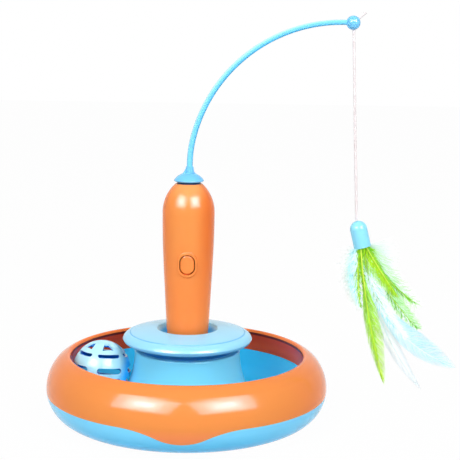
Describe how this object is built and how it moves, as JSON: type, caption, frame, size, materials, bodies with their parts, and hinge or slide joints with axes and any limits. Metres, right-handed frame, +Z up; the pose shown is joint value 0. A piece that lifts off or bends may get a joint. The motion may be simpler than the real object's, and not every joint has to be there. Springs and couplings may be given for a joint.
{
  "type": "feather track cat toy",
  "caption": "Round cat toy with a slotted ball in a circular track and a battery handle that turns a curved arm with feathers on a cord.",
  "frame": {"origin": "middle of the base, on the surface that the toy stands on", "axes": "+Z up, front towards -Y, the curved arm towards +X at rest"},
  "size_m": [0.3, 0.205, 0.2956],
  "materials": {
    "sky_blue_plastic": "glossy moulding",
    "orange_plastic": "glossy moulding",
    "track_blue_plastic": "glossy moulding",
    "pale_blue_plastic": "glossy moulding",
    "grey_rubber": "soft matt",
    "screw_steel": "plated",
    "bell_brass": "polished",
    "bright_steel": "polished",
    "board_green": "solder resist",
    "black_plastic": "fine texture",
    "cell_jacket": "printed film without lettering",
    "natural_plastic": "natural acetal",
    "pinion_brass": "machined",
    "lead_insulation": "soft insulation",
    "white_cord": "fine braid",
    "green_feather": "dyed feather",
    "white_feather_vane": "undyed feather",
    "pale_blue_feather": "dyed feather"
  },
  "bodies": {
    "base": {"base_bottom_shell": "sky_blue_plastic", "rim_ring": "orange_plastic", "track_tray": "track_blue_plastic", "turret_collar": "pale_blue_plastic", "handle_socket": "track_blue_plastic", "anti_slip_feet": "grey_rubber", "centre_pad": "grey_rubber", "base_screws": "screw_steel", "collar_screws": "screw_steel"},
    "bell_in_ball": {"bell": "bell_brass", "bell_pellet": "bright_steel"},
    "ball": {"ball_shell_upper": "pale_blue_plastic", "ball_shell_lower": "pale_blue_plastic"},
    "handle": {"handle_front_shell": "orange_plastic", "handle_rear_shell": "orange_plastic", "handle_screws": "screw_steel", "circuit_board": "board_green", "tact_switch": "black_plastic", "battery_holder": "black_plastic", "battery_holder_lid": "black_plastic", "aaa_cell_1": "cell_jacket", "aaa_cell_2": "cell_jacket", "aaa_cell_3": "cell_jacket", "contact_tab_lower": "bright_steel", "contact_bridge_lower": "bright_steel", "contact_bridge_upper": "bright_steel", "contact_tab_upper": "bright_steel", "motor_can": "bright_steel", "motor_end_bell": "black_plastic", "gearbox_base": "natural_plastic", "gearbox_cover": "natural_plastic", "offset_axle": "bright_steel", "output_bush": "natural_plastic", "battery_leads": "lead_insulation", "motor_leads": "lead_insulation"},
    "end_cap": {"end_cap": "orange_plastic"},
    "button": {"push_button": "orange_plastic"},
    "motor_rotor": {"motor_shaft": "bright_steel", "motor_pinion": "pinion_brass"},
    "gear_one": {"compound_gear_1": "natural_plastic"},
    "gear_two": {"compound_gear_2": "natural_plastic"},
    "gear_three": {"compound_gear_3": "natural_plastic"},
    "rotor": {"output_gear": "natural_plastic", "output_shaft": "bright_steel", "rotor_cap": "sky_blue_plastic", "arm_rod": "sky_blue_plastic", "arm_tip_bead": "sky_blue_plastic", "cord_end": "white_cord"},
    "line": {"teaser_cord": "white_cord"},
    "feather_head": {"feather_cap": "sky_blue_plastic", "quill_plug": "natural_plastic", "green_feather_front": "green_feather", "white_feather": "white_feather_vane", "green_feather_middle": "green_feather", "cyan_feather_left": "pale_blue_feather", "blue_feather_large": "pale_blue_feather", "green_feather_upper": "green_feather", "green_feather_lower": "green_feather", "green_feather_left": "green_feather"}
  },
  "joints": [
    {"name": "handle_lift", "type": "slide", "parent": "base", "child": "handle", "axis": [0, 0, 1], "range_m": [0, 0.05]},
    {"name": "rotor_spin", "type": "hinge", "parent": "handle", "child": "rotor", "pos_m": [0, 0, 0.16], "axis": [0, 0, 1], "continuous": true},
    {"name": "gear_three_spin", "type": "hinge", "parent": "handle", "child": "gear_three", "pos_m": [0, 0.0076, 0.146], "axis": [0, 0, 1], "continuous": true},
    {"name": "gear_two_spin", "type": "hinge", "parent": "handle", "child": "gear_two", "pos_m": [0, 0, 0.1435], "axis": [0, 0, 1], "continuous": true},
    {"name": "gear_one_spin", "type": "hinge", "parent": "handle", "child": "gear_one", "pos_m": [0, 0.0076, 0.141], "axis": [0, 0, 1], "continuous": true},
    {"name": "motor_spin", "type": "hinge", "parent": "handle", "child": "motor_rotor", "pos_m": [0, 0, 0.139], "axis": [0, 0, 1], "continuous": true},
    {"name": "button_press", "type": "slide", "parent": "handle", "child": "button", "axis": [0, 1, 0], "range_m": [0, 0.0005], "stiffness_N_per_m": 1500, "springref_m": -0.0003},
    {"name": "end_cap_twist", "type": "hinge", "parent": "handle", "child": "end_cap", "pos_m": [0, 0, 0.041], "axis": [0, 0, 1], "range_deg": [0, 45]},
    {"name": "ball_orbit", "type": "hinge", "parent": "base", "child": "bell_in_ball", "pos_m": [0, 0, 0.0352], "axis": [0, 0, 1], "continuous": true},
    {"name": "ball_roll", "type": "hinge", "parent": "bell_in_ball", "child": "ball", "pos_m": [-0.06251, -0.00328, 0.0352], "axis": [-0.9986, -0.0523, 0], "continuous": true},
    {"name": "teaser_swing", "type": "hinge", "parent": "rotor", "child": "line", "pos_m": [0.1148, 0, 0.2875], "axis": [0, -1, 0], "range_deg": [-3, 55]},
    {"name": "feather_tilt", "type": "hinge", "parent": "line", "child": "feather_head", "pos_m": [0.1229, 0, 0.14085], "axis": [0, -1, 0], "range_deg": [-12, 35]}
  ],
  "couplings": [
    {"joint": "gear_three_spin", "follows": "rotor_spin", "ratio": -2.8},
    {"joint": "gear_two_spin", "follows": "rotor_spin", "ratio": 7.84},
    {"joint": "gear_one_spin", "follows": "rotor_spin", "ratio": -21.952},
    {"joint": "motor_spin", "follows": "rotor_spin", "ratio": 61.466},
    {"joint": "ball_roll", "follows": "ball_orbit", "ratio": -2.981}
  ]
}
